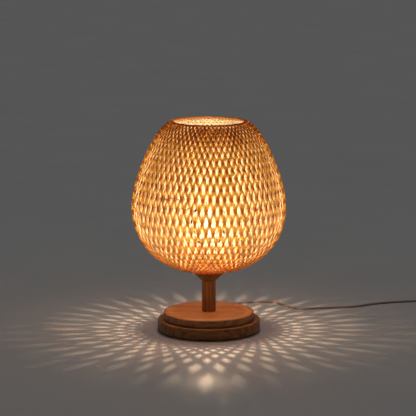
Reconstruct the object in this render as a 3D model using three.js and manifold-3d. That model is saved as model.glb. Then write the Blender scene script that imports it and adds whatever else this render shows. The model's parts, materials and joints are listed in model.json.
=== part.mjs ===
// A table lamp: a double-layer woven bamboo shade on a turned wooden stem and two-tier base,
// an E27 lampholder with an LED filament bulb, and a mains lead with an in-line rocker switch.
// Millimetres, +Z up. The origin is on the surface the lamp stands on, at the lamp's axis.
// -Y is the front, and the lead leaves the base at the back, along +Y.

import * as THREE from 'three';
import { mergeVertices } from 'three/addons/utils/BufferGeometryUtils.js';
import Module from 'manifold-3d';

const wasm = await Module();
wasm.setup();

// ---------------------------------------------------------------- driving dimensions

const GAP = 0.3; // between pieces that touch
const ROUND_SIDES = 40; // facets round the large turned pieces
const SMALL_SIDES = 20; // facets round the small turned pieces

// The base, from the floor up
const PAD = { radius: 77, hole: 24, top: 1.2 };
const LOWER_DISC = { radius: 83, top: 19, edge: 2, recess: 21, recessTop: 11.5 };
const UPPER_DISC = { radius: 73.2, top: 31, edge: 1.2 };
const LEAD_HOLE = { height: 8, radius: 2.6 }; // drilled from the base's back to its recess

// The threaded tube that clamps base, stem and cup together
const ROD = { radius: 4.9, bore: 3.4, bottom: 3.2, top: 95.4 };
const ROD_HOLE = 5.3; // radius of the holes that the tube passes through
const NUT = { acrossFlats: 17, height: 5 };
const LOCK_NUT_HEIGHT = 3;
const WASHER = { radius: 14, thickness: 1.5 };

// The stem and the flared cup under the shade
const STEM = { radius: 11.25, top: 81.9, edge: 0.7 };
const CUP = { bottomRadius: 12.2, topRadius: 29, top: 98, wall: 4.5, floor: 6.3, edge: 1 };

// The lampholder
const HOLDER = { capBottom: 92.1, neck: 9, radius: 19.6, wall: 2.4, top: 133, seam: 98, thread: 20 };
const HOLDER_FLOOR = 2.5; // thickness of the cap round the threaded tube
const TERMINAL_BLOCK = { radius: 16.9, bottom: 99.8, top: 104.2 };
const TERMINAL = { x: 10.6, width: 5, depth: 7, height: 3.4 };
const CONTACT = { width: 5, strip: 0.4, root: 9, heel: 5, toe: 4 };
const SCREW_SHELL = { radius: 14.7, bore: 13.8, top: 128 };
const RING_NUT = { outer: 25, height: 6, notches: 8, notchRadius: 2, ease: 0.6 };

// The shade: the outline of its outer weave is two cubic curves that meet at the widest place
const SHADE_BOTTOM = new THREE.Vector2(34.6, 98.6);
const BELLY_PULL = [new THREE.Vector2(80.5, 107.5), new THREE.Vector2(124.2, 140)];
const SHADE_WIDEST = new THREE.Vector2(124.2, 205);
const SHOULDER_PULL = [new THREE.Vector2(124.2, 243), new THREE.Vector2(90, 329)];
const SHADE_TOP = new THREE.Vector2(63, 340.5);
const WEAVE_THICKNESS = 1.6; // two strips, one over the other
const LAYER_OFFSET = 3.2; // from the outer weave's outside to the inner weave's outside
const SHADE_SIDES = 32;
const SHADE_STEPS = 5; // along each of the two curves
const TOP_HOOP = { inside: 56.4, middle: 59.1, outside: 61.8, bottom: 338.2, top: 341.4 };
const BOTTOM_HOOP = { inside: 34.3, outside: 37.8, bottom: 104.8, top: 107.6 };
const FITTER = { hole: 20.2, radius: 33.6, thickness: 1.2 };
const FITTER_WINDOW = { count: 3, inside: 25.6, outside: 28.4, halfAngle: 0.7 };

// The bulb, an A60 on an E27 cap
const BULB_CONTACT_HEIGHT = 106;
const BULB = { radius: 30, length: 104, neck: 13.2, wall: 0.9, widestAt: 72 };
const CAP = { radius: 13.1, thread: 0.7, pitch: 3.6, turns: 4, bottom: 4.4, top: 25 };
const INSULATOR = { hole: 4.9, radius: 9.2, bottom: 1.4, rim: 3.6, top: 4.1 };
const TIP_CONTACT = { radius: 4.6, top: 3.2 };
const MOUNT = { bottom: 22, foot: 9.5, footTop: 24.5, neck: 3, neckAt: 36, tip: 2.2 };
const FILAMENT = { length: 36, radius: 1.1, middle: 61, topSpread: 4.2, bottomSpread: 9.5 };
const SUPPORT_WIRE = 0.45;

// The lead and what is on it
const LEAD = { radius: 1.75, sides: 8 };
const CORE = { radius: 0.8, sides: 6, apart: 2.3 };
const GLAND = { tip: 112, flange: 6.2, flangeEnd: 85.6, bore: 2.05 };
const SWITCH = { x: 408, y: 139, length: 62, width: 22, height: 15, wall: 1.8, corner: 7 };
const SWITCH_SCREW = { x: 6, y: 21, head: 2.6, shank: 1.1, boss: 2.6, top: 11.5 };
const ROCKER = { length: 19, width: 10.6, tilt: 9, pivotHeight: 10.6, pin: 1.2 };
const COIL = { y: 13, middle: 21, turns: 4, layers: 2, spacing: 3.6, lift: 1 };
const TIE = { thickness: 0.6, width: 6, angle: 215 };
const PLUG = { y: -56, length: 36, width: 35, face: 26, height: 13.7, cordHeight: 6.85 };
const PLUG_RELIEF = { length: 14, root: 2, thick: 4.4, thin: 2.7 };
const PIN = { radius: 2, length: 19, spacing: 18.6, root: 5.5 };

// ---------------------------------------------------------------- helpers

const lamp = new THREE.Group();

const finish = (color, roughness, metalness = 0, extra = {}) =>
  new THREE.MeshStandardMaterial({ color, roughness, metalness, ...extra });

const materials = {
  topWood: finish('#b06a32', 0.5),
  wood: finish('#8a5128', 0.5),
  felt: finish('#1c1a19', 0.95),
  zinc: finish('#b9bcc0', 0.35, 1),
  steel: finish('#8f9296', 0.4, 1),
  brass: finish('#c79a45', 0.3, 1),
  nickel: finish('#c9c8c4', 0.25, 1),
  phenolic: finish('#17161a', 0.4),
  ceramic: finish('#e9e4d8', 0.5),
  bamboo: finish('#d59a55', 0.6),
  darkBamboo: finish('#7a4320', 0.6),
  glass: finish('#ffffff', 0.05, 0, { transparent: true, opacity: 0.3 }),
  vitrite: finish('#141414', 0.2),
  phosphor: finish('#f2c14a', 0.6),
  lead: finish('#3a2a22', 0.5),
  coreBlue: finish('#2f5c9a', 0.5),
  coreBrown: finish('#5a3a22', 0.5),
  plastic: finish('#241c18', 0.45),
};

function place(name, geometry, material, position = [0, 0, 0], parent = lamp) {
  const mesh = new THREE.Mesh(geometry, material);
  mesh.name = name;
  mesh.position.set(...position);
  parent.add(mesh);
  return mesh;
}

// A solid of revolution about +Z from an outline of (radius, height) points.
function turned(outline, sides) {
  const points = THREE.ShapeUtils.area(outline) < 0 ? outline.slice().reverse() : outline;
  return new THREE.LatheGeometry(points, sides).rotateX(Math.PI / 2);
}

const corner = (radius, height) => new THREE.Vector2(radius, height);

// A flat-sided ring, or a disc with a hole.
function ring(inside, outside, bottom, top, sides) {
  const outline = [
    corner(inside, bottom),
    corner(outside, bottom),
    corner(outside, top),
    corner(inside, top),
    corner(inside, bottom),
  ];
  return turned(outline, sides);
}

// A ring whose four long edges are eased by a small flat.
function easedRing(inside, outside, bottom, top, ease, sides) {
  const outline = [
    corner(inside + ease, bottom),
    corner(outside - ease, bottom),
    corner(outside, bottom + ease),
    corner(outside, top - ease),
    corner(outside - ease, top),
    corner(inside + ease, top),
    corner(inside, top - ease),
    corner(inside, bottom + ease),
    corner(inside + ease, bottom),
  ];
  return turned(outline, sides);
}

// A bar of round section from one point to another.
function bar(from, to, radius, sides = SMALL_SIDES) {
  const start = new THREE.Vector3(...from);
  const way = new THREE.Vector3(...to).sub(start);
  const solid = new THREE.CylinderGeometry(radius, radius, way.length(), sides);
  solid.translate(0, way.length() / 2, 0);
  const turn = new THREE.Quaternion();
  turn.setFromUnitVectors(new THREE.Vector3(0, 1, 0), way.normalize());
  return solid.applyQuaternion(turn).translate(start.x, start.y, start.z);
}

function toManifold(geometry) {
  const bare = geometry.clone();
  bare.deleteAttribute('normal');
  bare.deleteAttribute('uv');
  const merged = mergeVertices(bare, 1e-4);
  const vertProperties = new Float32Array(merged.attributes.position.array);
  const triVerts = new Uint32Array(merged.index.array);
  return new wasm.Manifold(new wasm.Mesh({ numProp: 3, vertProperties, triVerts }));
}

function fromManifold(solid) {
  const { vertProperties, triVerts } = solid.getMesh();
  const geometry = new THREE.BufferGeometry();
  geometry.setAttribute('position', new THREE.BufferAttribute(vertProperties, 3));
  geometry.setIndex(new THREE.BufferAttribute(triVerts, 1));
  geometry.computeVertexNormals();
  return geometry;
}

const cut = (geometry, ...tools) =>
  fromManifold(tools.reduce((rest, tool) => rest.subtract(toManifold(tool)), toManifold(geometry)));

const join = (...geometries) =>
  fromManifold(geometries.map(toManifold).reduce((sum, next) => sum.add(next)));

// ---------------------------------------------------------------- base

const baseLowerBottom = PAD.top + GAP;
const baseUpperBottom = LOWER_DISC.top + GAP;

function lowerDisc() {
  const { radius, top, edge, recess, recessTop } = LOWER_DISC;
  const outline = new THREE.Path();
  outline.moveTo(recess, baseLowerBottom);
  outline.lineTo(radius - edge / 2, baseLowerBottom);
  outline.lineTo(radius, baseLowerBottom + edge / 2);
  outline.lineTo(radius, top - edge);
  outline.quadraticCurveTo(radius, top, radius - edge, top);
  outline.lineTo(ROD_HOLE, top);
  outline.lineTo(ROD_HOLE, recessTop);
  outline.lineTo(recess, recessTop);
  outline.closePath();
  const [from, to] = [recess - 3, radius + 5];
  const leadHole = bar([0, from, LEAD_HOLE.height], [0, to, LEAD_HOLE.height], LEAD_HOLE.radius);
  return cut(turned(outline.getPoints(3), ROUND_SIDES), leadHole);
}

function upperDisc() {
  const { radius, top, edge } = UPPER_DISC;
  const outline = new THREE.Path();
  outline.moveTo(ROD_HOLE, baseUpperBottom);
  outline.lineTo(radius - edge / 2, baseUpperBottom);
  outline.lineTo(radius, baseUpperBottom + edge / 2);
  outline.lineTo(radius, top - edge);
  outline.quadraticCurveTo(radius, top, radius - edge, top);
  outline.lineTo(ROD_HOLE, top);
  outline.closePath();
  return turned(outline.getPoints(3), ROUND_SIDES);
}

function hexNut(height) {
  const hexagon = new THREE.Shape();
  const reach = NUT.acrossFlats / Math.sqrt(3);
  for (let side = 0; side < 6; side += 1) {
    const angle = (side * Math.PI) / 3;
    const method = side === 0 ? 'moveTo' : 'lineTo';
    hexagon[method](reach * Math.cos(angle), reach * Math.sin(angle));
  }
  hexagon.closePath();
  hexagon.holes.push(new THREE.Path().absarc(0, 0, ROD.radius + GAP, 0, 2 * Math.PI, true));
  const deep = { depth: height, bevelEnabled: false, curveSegments: 8 };
  return new THREE.ExtrudeGeometry(hexagon, deep);
}

const washerTop = LOWER_DISC.recessTop - GAP;
const washerBottom = washerTop - WASHER.thickness;

place('base_pad', ring(PAD.hole, PAD.radius, 0, PAD.top, ROUND_SIDES), materials.felt);
place('base_lower_disc', lowerDisc(), materials.wood);
place('base_upper_disc', upperDisc(), materials.topWood);
place(
  'base_washer',
  ring(ROD.radius + GAP, WASHER.radius, washerBottom, washerTop, SMALL_SIDES),
  materials.zinc,
);
place('base_nut', hexNut(NUT.height), materials.zinc, [0, 0, washerBottom - GAP - NUT.height]);

// ---------------------------------------------------------------- stem, threaded tube, cup

const stemBottom = UPPER_DISC.top + GAP;
const cupBottom = STEM.top + GAP;
const cupFloor = cupBottom + CUP.floor;

function shadeCup() {
  const { bottomRadius, topRadius, top, wall, edge } = CUP;
  const flare = (topRadius - bottomRadius) / (top - cupBottom);
  const outline = new THREE.Path();
  outline.moveTo(ROD_HOLE, cupBottom);
  outline.lineTo(bottomRadius - edge, cupBottom);
  outline.quadraticCurveTo(bottomRadius, cupBottom, bottomRadius + edge * flare, cupBottom + edge);
  outline.lineTo(topRadius, top);
  outline.lineTo(topRadius - wall, top);
  outline.lineTo(topRadius - wall - (top - cupFloor) * flare, cupFloor);
  outline.lineTo(ROD_HOLE, cupFloor);
  outline.closePath();
  return turned(outline.getPoints(3), ROUND_SIDES);
}

place('lamp_rod', ring(ROD.bore, ROD.radius, ROD.bottom, ROD.top, SMALL_SIDES), materials.zinc);
place(
  'stem',
  easedRing(ROD_HOLE, STEM.radius, stemBottom, STEM.top, STEM.edge, SMALL_SIDES + 4),
  materials.wood,
);
place('shade_cup', shadeCup(), materials.wood);
place('cup_nut', hexNut(LOCK_NUT_HEIGHT), materials.zinc, [0, 0, cupFloor + GAP]);

// ---------------------------------------------------------------- lampholder

function holderCap() {
  const { capBottom, neck, radius, wall, seam } = HOLDER;
  const outline = new THREE.Path();
  outline.moveTo(ROD_HOLE, capBottom);
  outline.lineTo(neck, capBottom);
  outline.quadraticCurveTo(radius - 1.5, capBottom + 1.5, radius - 0.6, seam - GAP);
  outline.lineTo(radius - wall, seam - GAP);
  outline.quadraticCurveTo(
    radius - wall - 1, capBottom + HOLDER_FLOOR + 1, neck, capBottom + HOLDER_FLOOR);
  outline.lineTo(ROD_HOLE, capBottom + HOLDER_FLOOR);
  outline.closePath();
  return turned(outline.getPoints(4), SMALL_SIDES + 4);
}

function holderSkirt() {
  const { radius, wall, seam, top, thread } = HOLDER;
  const outline = new THREE.Path();
  const threadTop = seam + thread;
  const slimmer = radius - 1;
  const inside = radius - wall;
  outline.moveTo(inside, seam);
  outline.lineTo(radius, seam);
  outline.lineTo(radius, threadTop);
  outline.lineTo(slimmer, threadTop + 1);
  outline.lineTo(slimmer, top - 1.5);
  outline.quadraticCurveTo(slimmer, top, slimmer - 1.5, top);
  outline.lineTo(SCREW_SHELL.radius + 0.6, top);
  outline.lineTo(SCREW_SHELL.radius + 0.6, SCREW_SHELL.top + 1);
  outline.lineTo(inside, SCREW_SHELL.top - 2);
  outline.closePath();
  return turned(outline.getPoints(3), SMALL_SIDES + 4);
}

// The springy tongue that presses on the bulb's tip.
function contactTongue() {
  const profile = new THREE.Shape();
  const base = TERMINAL_BLOCK.top + GAP;
  const tip = BULB_CONTACT_HEIGHT - GAP;
  const { width, strip, root, heel, toe } = CONTACT;
  const slant = 0.3; // shifts the upper bends, so that the slope is as thick as the rest
  profile.moveTo(-root, base);
  profile.lineTo(-heel, base);
  profile.lineTo(-1, tip - strip);
  profile.lineTo(toe, tip - strip);
  profile.lineTo(toe, tip);
  profile.lineTo(-1 - slant, tip);
  profile.lineTo(-heel - slant, base + strip);
  profile.lineTo(-root, base + strip);
  profile.closePath();
  const tongue = new THREE.ExtrudeGeometry(profile, { depth: width, bevelEnabled: false });
  return tongue.rotateX(Math.PI / 2).translate(0, width / 2, 0);
}

const ringNutBottom = CUP.top + GAP + FITTER.thickness + GAP;

function shadeRingNut() {
  const { outer, height, notches, notchRadius, ease } = RING_NUT;
  const [inside, bottom, top] = [HOLDER.radius + GAP, ringNutBottom, ringNutBottom + height];
  const body = easedRing(inside, outer, bottom, top, ease, SMALL_SIDES + 4);
  const cutters = [];
  for (let notch = 0; notch < notches; notch += 1) {
    const angle = (notch * 2 * Math.PI) / notches;
    const [x, y] = [(outer + 1) * Math.cos(angle), (outer + 1) * Math.sin(angle)];
    cutters.push(bar([x, y, bottom - 1], [x, y, top + 1], notchRadius, 8));
  }
  return cut(body, ...cutters);
}

const shellBottom = TERMINAL_BLOCK.top + GAP;

// A brass block under the ceramic, drilled along X for the end of a core.
function terminal(side) {
  const { x, width, depth, height } = TERMINAL;
  const middle = TERMINAL_BLOCK.bottom - GAP - height / 2;
  const block = new THREE.BoxGeometry(width, depth, height).translate(side * x, 0, middle);
  const coreHole = bar([0, 0, middle], [side * 2 * x, 0, middle], CORE.radius + GAP, 8);
  return cut(block, coreHole);
}

place('holder_cap', holderCap(), materials.phenolic);
place('holder_skirt', holderSkirt(), materials.phenolic);
place(
  'holder_terminal_block',
  ring(2, TERMINAL_BLOCK.radius, TERMINAL_BLOCK.bottom, TERMINAL_BLOCK.top, SMALL_SIDES),
  materials.ceramic,
);
place(
  'holder_screw_shell',
  ring(SCREW_SHELL.bore, SCREW_SHELL.radius, shellBottom, SCREW_SHELL.top, SMALL_SIDES + 4),
  materials.brass,
);
place('holder_contact', contactTongue(), materials.brass);
place('holder_terminal_left', terminal(-1), materials.brass);
place('holder_terminal_right', terminal(1), materials.brass);
place('shade_ring_nut', shadeRingNut(), materials.phenolic);

// ---------------------------------------------------------------- shade

const belly = new THREE.CubicBezierCurve(SHADE_BOTTOM, ...BELLY_PULL, SHADE_WIDEST);
const shoulder = new THREE.CubicBezierCurve(SHADE_WIDEST, ...SHOULDER_PULL, SHADE_TOP);

// Points of the shade's outline, moved inwards by a distance square to the surface.
function shadeLine(inwards) {
  const line = [];
  for (const curve of [belly, shoulder]) {
    for (let step = curve === belly ? 0 : 1; step <= SHADE_STEPS; step += 1) {
      const along = step / SHADE_STEPS;
      const way = curve.getTangentAt(along);
      line.push(curve.getPointAt(along).add(corner(-way.y, way.x).multiplyScalar(inwards)));
    }
  }
  return line;
}

function weaveShell(outside) {
  const outer = shadeLine(outside);
  const inner = shadeLine(outside + WEAVE_THICKNESS).reverse();
  return turned([...outer, ...inner, outer[0]], SHADE_SIDES);
}

// The pressed steel plate: a rim at the shade's lower edge, a hub on the lampholder, and
// three curved windows between them.
function fitterPlate() {
  const bottom = CUP.top + GAP;
  const top = bottom + FITTER.thickness;
  const plate = ring(FITTER.hole, FITTER.radius, bottom, top, SMALL_SIDES + 4);
  const { count, inside, outside, halfAngle } = FITTER_WINDOW;
  const windows = [];
  for (let window = 0; window < count; window += 1) {
    const middle = (window * 2 * Math.PI) / count + Math.PI / 6;
    const [start, end] = [middle - halfAngle, middle + halfAngle];
    const sector = new THREE.Shape();
    sector.absarc(0, 0, outside, start, end, false);
    sector.absarc(0, 0, inside, end, start, true);
    sector.closePath();
    const deep = { depth: FITTER.thickness + 2, bevelEnabled: false, curveSegments: 4 };
    windows.push(new THREE.ExtrudeGeometry(sector, deep).translate(0, 0, bottom - 1));
  }
  return cut(plate, ...windows);
}

place('shade_outer_weave', weaveShell(0), materials.bamboo);
place('shade_inner_weave', weaveShell(LAYER_OFFSET), materials.bamboo);

// Round the top, the ends of the weave are held between an inner and an outer split hoop.
function topHoop(inside, outside) {
  return ring(inside, outside, TOP_HOOP.bottom, TOP_HOOP.top, SHADE_SIDES);
}

const betweenHoops = GAP / 2;
place(
  'shade_top_hoop_inner', topHoop(TOP_HOOP.inside, TOP_HOOP.middle - betweenHoops), materials.bamboo);
place(
  'shade_top_hoop_outer',
  topHoop(TOP_HOOP.middle + betweenHoops, TOP_HOOP.outside),
  materials.darkBamboo,
);

// Round the bottom, one hoop lies on the ends of the weave, inside the shade.
function bottomHoop() {
  const { inside, outside, bottom, top } = BOTTOM_HOOP;
  return ring(inside, outside, bottom, top, SHADE_SIDES);
}

place('shade_bottom_hoop', bottomHoop(), materials.bamboo);
place('shade_fitter', fitterPlate(), materials.steel);

// ---------------------------------------------------------------- bulb

const bulbAt = [0, 0, BULB_CONTACT_HEIGHT];

// The glass, as an open pear-shaped shell. Heights are from the bulb's contact.
function bulbGlass() {
  const { radius, length, neck, wall, widestAt } = BULB;
  const neckTop = CAP.top + 12;
  const outer = new THREE.Path();
  outer.moveTo(neck, CAP.top + GAP);
  outer.bezierCurveTo(neck, neckTop, radius, widestAt - 22, radius, widestAt);
  outer.bezierCurveTo(radius, widestAt + 18, 17, length, 0, length);
  const inner = new THREE.Path();
  inner.moveTo(0, length - wall);
  inner.bezierCurveTo(17 - wall, length - wall, radius - wall, widestAt + 18, radius - wall, widestAt);
  inner.bezierCurveTo(radius - wall, widestAt - 22, neck - wall, neckTop, neck - wall, CAP.top + GAP);
  const outline = [...outer.getPoints(5), ...inner.getPoints(5)];
  return turned([...outline, outline[0]], SMALL_SIDES + 4);
}

// The screw cap, a thin shell with a rounded thread drawn as rings.
function bulbCap() {
  const { radius, thread, pitch, turns, bottom, top } = CAP;
  const wall = 0.5;
  const outside = [corner(9.8, bottom), corner(radius - 1.2, bottom + 1.6)];
  const threadBottom = bottom + 2.4;
  for (let step = 0; step <= turns * 2; step += 1) {
    const swing = (thread / 2) * Math.cos(step * Math.PI);
    outside.push(corner(radius - thread / 2 - swing, threadBottom + (step * pitch) / 2));
  }
  outside.push(corner(radius - thread / 2, top));
  const inside = outside.map((point) => corner(point.x - wall, point.y)).reverse();
  return turned([...outside, ...inside, outside[0]], SMALL_SIDES + 4);
}

function bulbInsulator() {
  const { hole, radius, bottom, rim, top } = INSULATOR;
  const outline = [
    corner(hole, bottom),
    corner(radius, rim),
    corner(radius, top),
    corner(hole, top),
    corner(hole, bottom),
  ];
  return turned(outline, SMALL_SIDES);
}

function bulbTip() {
  const tip = new THREE.Path();
  const { radius, top } = TIP_CONTACT;
  tip.moveTo(0, 0);
  tip.quadraticCurveTo(radius, 0, radius, top / 2);
  tip.lineTo(radius, top);
  tip.lineTo(0, top);
  return turned(tip.getPoints(4), SMALL_SIDES);
}

const filamentFoot = FILAMENT.middle - FILAMENT.length / 2;

// The glass mount that stands in the neck and carries the filaments.
function bulbMount() {
  const outline = new THREE.Path();
  const { bottom, foot, footTop, neck, neckAt, tip } = MOUNT;
  outline.moveTo(0, bottom);
  outline.lineTo(foot, bottom);
  outline.lineTo(foot, footTop);
  outline.quadraticCurveTo(neck, footTop + 2.5, neck, neckAt);
  outline.lineTo(tip, filamentFoot - 2);
  outline.lineTo(0, filamentFoot - 2);
  return turned(outline.getPoints(5), SMALL_SIDES);
}

// Four LED filaments, welded at both ends to a star of wire on one central support.
function bulbFilaments() {
  const { length, radius, topSpread, bottomSpread } = FILAMENT;
  const [low, high] = [filamentFoot, filamentFoot + length];
  const pieces = [bar([0, 0, low - 2 + GAP], [0, 0, high + 0.6], SUPPORT_WIRE, 6)];
  for (let quarter = 0; quarter < 4; quarter += 1) {
    const angle = (quarter * Math.PI) / 2 + Math.PI / 4;
    const [x, y] = [Math.cos(angle), Math.sin(angle)];
    const foot = [x * bottomSpread, y * bottomSpread, low];
    const head = [x * topSpread, y * topSpread, high];
    pieces.push(bar(foot, head, radius, 8));
    pieces.push(bar([0, 0, low], foot, SUPPORT_WIRE, 6));
    pieces.push(bar([0, 0, high], head, SUPPORT_WIRE, 6));
  }
  return join(...pieces);
}

place('bulb_glass', bulbGlass(), materials.glass, bulbAt);
place('bulb_cap', bulbCap(), materials.nickel, bulbAt);
place('bulb_insulator', bulbInsulator(), materials.vitrite, bulbAt);
place('bulb_tip_contact', bulbTip(), materials.zinc, bulbAt);
place('bulb_mount', bulbMount(), materials.glass, bulbAt);
place('bulb_filaments', bulbFilaments(), materials.phosphor, bulbAt);

// ---------------------------------------------------------------- lead

const LYING = LEAD.radius; // height of the lead's axis where it lies on the floor

// A tube through a list of points, with a section of a few flat sides.
function tube(points, steps, { radius, sides }) {
  const path = new THREE.CatmullRomCurve3(points.map((point) => new THREE.Vector3(...point)));
  const section = new THREE.Shape();
  for (let side = 0; side < sides; side += 1) {
    const angle = (side * 2 * Math.PI) / sides;
    const method = side === 0 ? 'moveTo' : 'lineTo';
    section[method](radius * Math.cos(angle), radius * Math.sin(angle));
  }
  section.closePath();
  return new THREE.ExtrudeGeometry(section, { extrudePath: path, steps, bevelEnabled: false });
}

// The moulded bush in the back of the base, tapering along the lead.
function leadGland() {
  const { tip, flange, flangeEnd, bore } = GLAND;
  const wallFace = LOWER_DISC.radius + GAP;
  const outline = [
    corner(bore, wallFace),
    corner(flange, wallFace),
    corner(flange, flangeEnd - 0.6),
    corner(flange - 0.8, flangeEnd),
    corner(4, flangeEnd + 0.6),
    corner(2.9, tip),
    corner(bore, tip),
    corner(bore, wallFace),
  ];
  const bush = turned(outline, SMALL_SIDES);
  return bush.rotateX(-Math.PI / 2).translate(0, 0, LEAD_HOLE.height);
}

// Inside the base the lead runs from the gland to the recess.
const innerRoute = [
  [0, GLAND.tip - 1, LEAD_HOLE.height],
  [0, 80, LEAD_HOLE.height],
  [0, 40, LEAD_HOLE.height],
  [0, 18.5, LEAD_HOLE.height],
];

// There its sheath ends. The two cores dip under the nut, go up the threaded tube, and turn
// outwards over its top to the terminals.
function coreRoute(side) {
  const x = (side * CORE.apart) / 2;
  const terminalMiddle = TERMINAL_BLOCK.bottom - GAP - TERMINAL.height / 2;
  return [
    [x, 17.9, LEAD_HOLE.height - 0.6],
    [x, 15.2, 4.2],
    [x, 9.5, 1.9],
    [x, 3.2, 1.9],
    [x, 0.5, 3.6],
    [x, 0, 8],
    [x, 0, 50],
    [x, 0, 92],
    [side * 1.6, 0, 95.5],
    [side * 4.6, 0, terminalMiddle],
    [side * (TERMINAL.x + 1.5), 0, terminalMiddle],
  ];
}

// From the gland's tip down to the floor, round behind the base, out to the right, and back
// towards the front where the switch is.
const switchBack = SWITCH.y + SWITCH.length / 2;
const switchFront = SWITCH.y - SWITCH.length / 2;
const switchSeam = SWITCH.height / 2;
const lampRoute = [
  [0, GLAND.tip + GAP, LEAD_HOLE.height],
  [0, 122, 7.4],
  [1, 134, 4.9],
  [5, 147, 2.6],
  [13, 160, LYING],
  [25, 172, LYING],
  [39, 181, LYING],
  [53, 187, LYING],
  [67, 193, LYING],
  [80, 197, LYING],
  [94, 199.5, LYING],
  [108, 197, LYING],
  [121, 187, LYING],
  [131, 171, LYING],
  [139, 157, LYING],
  [149, 147, LYING],
  [160, 144, LYING],
  [175, 146, LYING],
  [198, 151, LYING],
  [217, 154, LYING],
  [240, 158.5, LYING],
  [260, 167, LYING],
  [280, 180, LYING],
  [314, 194, LYING],
  [345, 202, LYING],
  [368, 205, LYING],
  [386, 203, LYING],
  [400, 194, 2.4],
  [407, 181, 5.6],
  [SWITCH.x, switchBack + GAP, switchSeam],
];

// The coil's outermost turn starts and ends where the lead passes it, beside its middle.
const coilHalf = (COIL.turns * COIL.spacing) / 2;
const coilX = SWITCH.x - COIL.middle - coilHalf;
const coilLow = COIL.lift + LEAD.radius;
const coilHigh = coilLow + (COIL.layers - 1) * COIL.spacing;
const coilReach = 16; // from the coil's middle to where the lead meets its solid
const coilRoute = [
  [SWITCH.x, switchFront - GAP, switchSeam],
  [SWITCH.x + 0.3, 98, 6.2],
  [SWITCH.x + 1, 87, 3.7],
  [SWITCH.x + 1.8, 74, LYING],
  [SWITCH.x + 2, 60, LYING],
  [SWITCH.x + 1.2, 44, 2.2],
  [SWITCH.x, COIL.y + coilReach, coilLow],
];

const plugBack = PLUG.y + PLUG.length / 2;
const plugRelief = plugBack + PLUG_RELIEF.length;
const plugRoute = [
  [SWITCH.x, COIL.y - coilReach, coilHigh],
  [SWITCH.x, COIL.y - coilReach - 10, coilHigh - 0.6],
  [SWITCH.x, plugRelief + GAP, PLUG.cordHeight],
];

const coilSection = {
  half: coilHalf + LEAD.radius,
  top: coilHigh + LEAD.radius + 0.1,
};

function coilRing() {
  const { half, top } = coilSection;
  return easedRing(COIL.middle - half, COIL.middle + half, COIL.lift, top, 1.4, SMALL_SIDES + 4);
}

// A flat band round all the turns at one place.
function coilTie() {
  const curveRoom = 0.4; // the ring bends away inside the band's width
  const half = coilSection.half + GAP + curveRoom;
  const top = coilSection.top + GAP;
  const bottom = COIL.lift - GAP;
  const { thickness, width } = TIE;
  const band = (grow) => {
    const outline = new THREE.Path();
    outline.moveTo(-half - grow, bottom - grow);
    outline.lineTo(half + grow, bottom - grow);
    outline.lineTo(half + grow, top + grow);
    outline.lineTo(-half - grow, top + grow);
    outline.closePath();
    return outline;
  };
  const shape = new THREE.Shape(band(thickness).getPoints());
  shape.holes.push(band(0));
  const solid = new THREE.ExtrudeGeometry(shape, { depth: width, bevelEnabled: false });
  return solid.rotateX(Math.PI / 2).translate(0, width / 2, 0);
}

place('lead_gland', leadGland(), materials.plastic);
place('inner_lead', tube(innerRoute, 6, LEAD), materials.lead);
place('core_left', tube(coreRoute(-1), 26, CORE), materials.coreBlue);
place('core_right', tube(coreRoute(1), 26, CORE), materials.coreBrown);
place('lead_to_switch', tube(lampRoute, 58, LEAD), materials.lead);
place('lead_to_coil', tube(coilRoute, 10, LEAD), materials.lead);
place('lead_coil', coilRing(), materials.lead, [coilX, COIL.y, 0]);
place('lead_to_plug', tube(plugRoute, 4, LEAD), materials.lead);

const tieAngle = THREE.MathUtils.degToRad(TIE.angle);
const tie = place('coil_tie', coilTie(), materials.felt);
tie.rotation.z = tieAngle;
tie.position.set(
  coilX + COIL.middle * Math.cos(tieAngle),
  COIL.y + COIL.middle * Math.sin(tieAngle),
  0,
);

// ---------------------------------------------------------------- in-line switch

// A bar of stadium-like plan with its long side along Y, between two heights.
function roundedBar(length, width, radius, bottom, top) {
  const [halfLength, halfWidth] = [length / 2, width / 2];
  const plan = new THREE.Shape();
  plan.moveTo(-halfWidth, -halfLength + radius);
  plan.quadraticCurveTo(-halfWidth, -halfLength, -halfWidth + radius, -halfLength);
  plan.lineTo(halfWidth - radius, -halfLength);
  plan.quadraticCurveTo(halfWidth, -halfLength, halfWidth, -halfLength + radius);
  plan.lineTo(halfWidth, halfLength - radius);
  plan.quadraticCurveTo(halfWidth, halfLength, halfWidth - radius, halfLength);
  plan.lineTo(-halfWidth + radius, halfLength);
  plan.quadraticCurveTo(-halfWidth, halfLength, -halfWidth, halfLength - radius);
  const deep = { depth: top - bottom, bevelEnabled: false, curveSegments: 5 };
  return new THREE.ExtrudeGeometry(plan, deep).translate(0, 0, bottom);
}

const switchGroup = new THREE.Group();
switchGroup.position.set(SWITCH.x, SWITCH.y, 0);
lamp.add(switchGroup);

const leadWay = bar(
  [0, -SWITCH.length, switchSeam], [0, SWITCH.length, switchSeam], LEAD.radius + GAP, 12);
const pocket = (bottom, top) =>
  roundedBar(SWITCH.length - 10, SWITCH.width - 2 * SWITCH.wall, SWITCH.corner - 2, bottom, top);

// The two screws stand on a diagonal of the housing, clear of the lead and the rocker.
const screwPlaces = [[SWITCH_SCREW.x, SWITCH_SCREW.y], [-SWITCH_SCREW.x, -SWITCH_SCREW.y]];
const screwSides = 10;
const upright = (radius, bottom, top) =>
  screwPlaces.map(([x, y]) => bar([x, y, bottom], [x, y, top], radius, screwSides));

function switchLowerHalf() {
  const { length, width, wall, corner: radius } = SWITCH;
  const body = roundedBar(length, width, radius, 0, switchSeam - GAP / 2);
  const headWays = upright(SWITCH_SCREW.head + GAP, -1, wall / 2);
  const shankWays = upright(SWITCH_SCREW.shank + GAP, -1, wall + 1);
  return cut(body, pocket(wall, SWITCH.height), leadWay, ...headWays, ...shankWays);
}

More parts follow.
